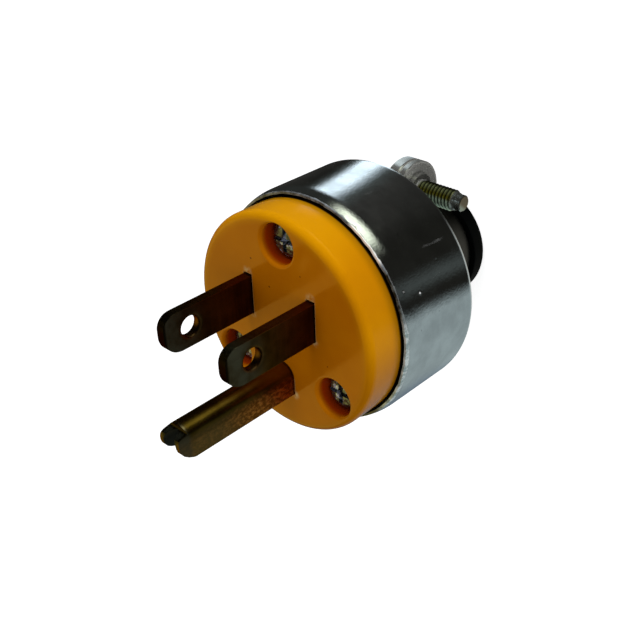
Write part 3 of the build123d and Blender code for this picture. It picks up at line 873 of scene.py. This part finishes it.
def assembly_screw(side):
    """Long screw with a domed head, a slot and a shorter cross slot."""
    x, z = BOLTS[side]
    shank_end = SHELL_BACK - SHELL_SHEET
    bm = turned([
        (0, 1.75), (1.7, 1.8), (2.3, 2.0), (2.6, 2.3), (BOLT_HEAD_RADIUS, 2.75),
        (BOLT_HEAD_RADIUS, COUNTERBORE_DEPTH), (BOLT_RADIUS, COUNTERBORE_DEPTH), (BOLT_RADIUS, shank_end),
        (0, shank_end),
    ], 64, closed=False)
    slots = [block((5.8, 2, BOLT_RECESS), (0, 1.8, 0)), block((BOLT_RECESS, 2, 3.6), (0, 1.8, 0))]
    return moved(carved(bm, slots), (x, 0, z))


def clamp_screw(up):
    """Slotted screw along X with a cut thread and a dog point, above or below the cord."""
    pitch, turns, per_turn = 0.635, 14.2, 28
    root, crest, point = 1.4, 1.72, 1.3
    head_radius, head_height = 2.8, 2.1
    core = turned([
        (0, 0), (head_radius, 0), (head_radius, 1.5), (2.2, head_height), (0, head_height),
    ], 48, closed=False)
    core = carved(core, [block((0.9, 2.2, 7), (0, head_height, 0))])
    moved(core, (-CLAMP_GAP / 2 - CLAMP_SHEET - WASHER_THICKNESS, 0, 0), TO_MINUS_X)
    end = CLAMP_SCREW_END
    shank = turned([
        (0, -1.7), (root, -1.7), (root, 9.1), (point, 9.2), (point, end - 0.15), (1.15, end), (0, end),
    ], 48, closed=False)
    moved(shank, turn=TO_X)
    thread = bmesh.new()
    base = root - 0.05
    ridge = ((-0.3, base), (-0.06, crest), (0.06, crest), (0.3, base))
    corners = [thread.verts.new((dx, radius, 0)) for dx, radius in ridge]
    for a, b in zip(corners, corners[1:] + corners[:1]):
        thread.edges.new((a, b))
    bmesh.ops.translate(thread, vec=(0.1, 0, 0), verts=thread.verts)
    bmesh.ops.spin(
        thread, geom=thread.verts[:] + thread.edges[:], cent=(0, 0, 0), axis=(1, 0, 0),
        dvec=(pitch / per_turn, 0, 0), angle=FULL_TURN * turns, steps=int(per_turn * turns),
    )
    # The thread runs out in a cone towards the point
    for vert in thread.verts:
        reach = crest - 0.5 * max(0.0, vert.co.x - 8.4)
        if vert.co.yz.length > reach:
            vert.co.yz = vert.co.yz.normalized() * reach
    bmesh.ops.holes_fill(thread, edges=[e for e in thread.edges if e.is_boundary])
    bmesh.ops.recalc_face_normals(thread, faces=thread.faces)
    return moved(joined(core, shank, thread), (0, CLAMP_SCREW_Y, up * CLAMP_SCREW_Z))


def cord_bushing():
    """Rubber sleeve with a rounded flange at its end."""
    bm = turned([
        (BUSHING_BORE, BUSHING_START), (BUSHING_SLEEVE, BUSHING_START), (BUSHING_SLEEVE, CLAMP_END),
        (BUSHING_FLANGE, CLAMP_END), (BUSHING_FLANGE, BUSHING_END), (BUSHING_BORE, BUSHING_END),
    ], 128)
    soften(bm, 1.0, 5, lambda p: p.y > BUSHING_END - 0.2 and p.xz.length > 9)
    soften(bm, 0.6, 3, lambda p: p.y > BUSHING_END - 0.2 and p.xz.length < 5)
    soften(bm, 0.3, 2, lambda p: abs(p.y - CLAMP_END) < 0.1 and p.xz.length > 9)
    return bm


def merged_copy(node):
    """Merged copy of a CAD node's mesh, in millimetres."""
    bm = bmesh.new()
    bm.from_mesh(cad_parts[node].data)
    bmesh.ops.scale(bm, vec=(MM_PER_METRE, MM_PER_METRE, MM_PER_METRE), verts=bm.verts)
    bmesh.ops.rotate(bm, cent=(0, 0, 0), matrix=UPRIGHT.inverted(), verts=bm.verts)
    bmesh.ops.remove_doubles(bm, verts=bm.verts, dist=0.0005)
    return bm


brass = tarnished_brass()
zinc = zinc_screw()
chromate = chromate_screw()
clamp_finish = clamp_steel()
fibre_finish = fibre()

piece("moulded_face", face_body(), moulded_plastic(), "face_body")
piece("drawn_shell", steel_shell(), shell_steel(), "steel_shell")
piece("blade_line", blade(-1), brass, "line_blade")
piece("blade_neutral", blade(1), brass, "neutral_blade")
piece("ground_prong", ground_pin(), pin_brass(), "ground_pin")
for side in BOLTS:
    piece(f"long_screw_{side}", assembly_screw(side), zinc, f"assembly_screw_{side}")
piece("clamp_left", merged_copy("clamp_half_left"), clamp_finish, "clamp_half_left")
piece("clamp_right", merged_copy("clamp_half_right"), clamp_finish, "clamp_half_right")
piece("clamp_bolt_upper", clamp_screw(1), chromate, "clamp_screw_upper")
piece("clamp_bolt_lower", clamp_screw(-1), chromate, "clamp_screw_lower")
piece("bushing", cord_bushing(), rubber(), "cord_bushing")

# Nodes that keep their CAD mesh and get a material only
plain_nodes = {
    "line_terminal_screw": screw_metal("brass_screw", tint(176, 136, 60), tint(200, 164, 88)),
    "neutral_terminal_screw": screw_metal("nickel_screw", tint(186, 186, 182), tint(214, 214, 210)),
    "ground_terminal_screw": screw_metal("green_screw", tint(34, 96, 52), tint(58, 128, 74)),
    "insulating_liner": fibre_finish,
    "rear_insulator": fibre_finish,
    "clamp_washer_upper": clamp_finish,
    "clamp_washer_lower": clamp_finish,
}
for node, finish in plain_nodes.items():
    for material_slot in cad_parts[node].material_slots:
        material_slot.material = finish


# Floor, cards, light and camera

def flat_card(name, height, width, material):
    """Square card that faces up, at a height under the plug; lengths in metres."""
    bm = bmesh.new()
    bmesh.ops.create_grid(bm, x_segments=1, y_segments=1, size=width / 2)
    card = as_object(moved(bm, (0, 0, height)), name)
    card.data.materials.append(material)
    return card


def stage_material(name, color, glow):
    """Matt colour that looks a little brighter to the camera and in reflections."""
    finish = Finish(name, roughness=0.9, specular_ior_level=0.0, base_color=color)
    finish.set(emission_color=WHITE, emission_strength=finish.seen() * glow)
    return finish.material


def glossy_only(card):
    """Lets a card show in reflections and nowhere else."""
    card.visible_camera = False
    card.visible_diffuse = False
    card.visible_transmission = False
    card.visible_shadow = False


def surroundings(name, stops):
    """Glow for the shell to reflect, which changes with the bearing and distance from the plug."""
    finish = Finish(name, roughness=1.0, specular_ior_level=0.0, base_color=BLACK)
    bearing = finish.bearing()
    out = finish.off_axis()
    screen = [(position, tint(*color)) for position, color in stops]
    glow = finish.node("ShaderNodeValToRGB", {"stops": screen}, {0: bearing})
    # A dim gap behind the plug's side, then the bright window far off and the pale table close by
    peak = bearing.rise(0.802, 0.822) * bearing.rise(0.862, 0.848)
    glow = finish.mix(bearing.rise(0.77, 0.79) * out.rise(49, 54), glow, tint(44, 46, 44))
    far = bearing.rise(0.63, 0.70) * bearing.rise(0.80, 0.74) * out.rise(60, 80)
    glow = finish.mix(far, glow, tint(246, 255, 232))
    close = finish.mix(out.rise(13, 17), tint(206, 204, 194), tint(198, 206, 204))
    glow = finish.mix(out.rise(24, 20) * bearing.rise(0.66, 0.54) * 0.85, glow, close)
    finish.set(emission_color=glow, emission_strength=1.0 + far * 0.9 + peak * out.rise(54, 49) * 0.6)
    return finish.material


def room_glow(name):
    """Dark room with one pale side, which the moulded face reflects."""
    finish = Finish(name, roughness=1.0, specular_ior_level=0.0, base_color=BLACK)
    pale = finish.away(-712, -737, -624).rise(900, 500)
    finish.set(emission_color=finish.mix(pale, tint(26, 26, 22), tint(240, 220, 110)), emission_strength=1.15)
    return finish.material


floor_z = -BUSHING_END * MM
flat_card("floor", floor_z, 6.0, stage_material("floor_white", tint(250, 250, 250), 0.72))

# What the shell reflects, by bearing: 0 is along -X, 0.25 below the ground pin, 0.5 along +X
corner, wall, haze = (32, 32, 29), (56, 56, 54), (74, 80, 79)
bench, bench_side, window = (154, 168, 170), (110, 124, 136), (226, 244, 255)
table_stops = [
    (0.0, wall), (0.2, bench_side), (0.26, bench_side), (0.325, bench), (0.477, bench), (0.503, corner),
    (0.526, corner), (0.549, haze), (0.575, corner), (0.64, corner), (0.76, wall), (0.788, haze),
    (0.812, window), (0.851, window), (0.866, haze), (0.888, corner), (1.0, wall),
]
glossy_only(flat_card("table_reflection", floor_z + 0.0002, 3.0, surroundings("table_glow", table_stops)))

room_shape = bmesh.new()
bmesh.ops.create_icosphere(room_shape, subdivisions=4, radius=1.2)
bmesh.ops.reverse_faces(room_shape, faces=room_shape.faces)
room = as_object(room_shape, "dark_room")
room.data.materials.append(room_glow("room_glow"))
glossy_only(room)

# World: white to the camera and in reflections, dimmer as light on the plug
world = bpy.data.worlds.new("studio")
bpy.context.scene.world = world
sky = Nodes(world)
level = sky.node("ShaderNodeMapRange", {}, {0: sky.seen(), 3: 0.39, 4: 1.0})
background = sky.node("ShaderNodeBackground", {}, {0: WHITE, 1: level})
sky.feed(sky.tree.nodes.new("ShaderNodeOutputWorld").inputs[0], background)


def soft_lamp(name, place, size, watts):
    """Square lamp aimed at the plug that doesn't show in reflections; lengths in metres."""
    lamp = bpy.data.lights.new(name, "AREA")
    lamp.shape = "SQUARE"
    lamp.size = size
    lamp.energy = watts
    holder = bpy.data.objects.new(name, lamp)
    holder.location = place
    holder.rotation_euler = (-Vector(place)).to_track_quat("-Z", "Y").to_euler()
    holder.visible_glossy = False
    bpy.context.scene.collection.objects.link(holder)


soft_lamp("side_window", (-0.08, 0.5, 0.08), 0.3, 1.7)
soft_lamp("right_fill", (0.5, 0.05, 0.12), 0.3, 0.8)

view = bpy.data.cameras.new("photo_view")
view.lens = 53.39
view.sensor_width = 36
view.clip_start = 0.01
view.clip_end = 20
camera = bpy.data.objects.new("photo_view", view)
camera.location = (0.08666, 0.0730, 0.08124)
camera.rotation_euler = (radians(-32.74), radians(43.078), radians(-2.043))
bpy.context.scene.collection.objects.link(camera)
bpy.context.scene.camera = camera
bpy.context.scene.view_settings.view_transform = "Standard"
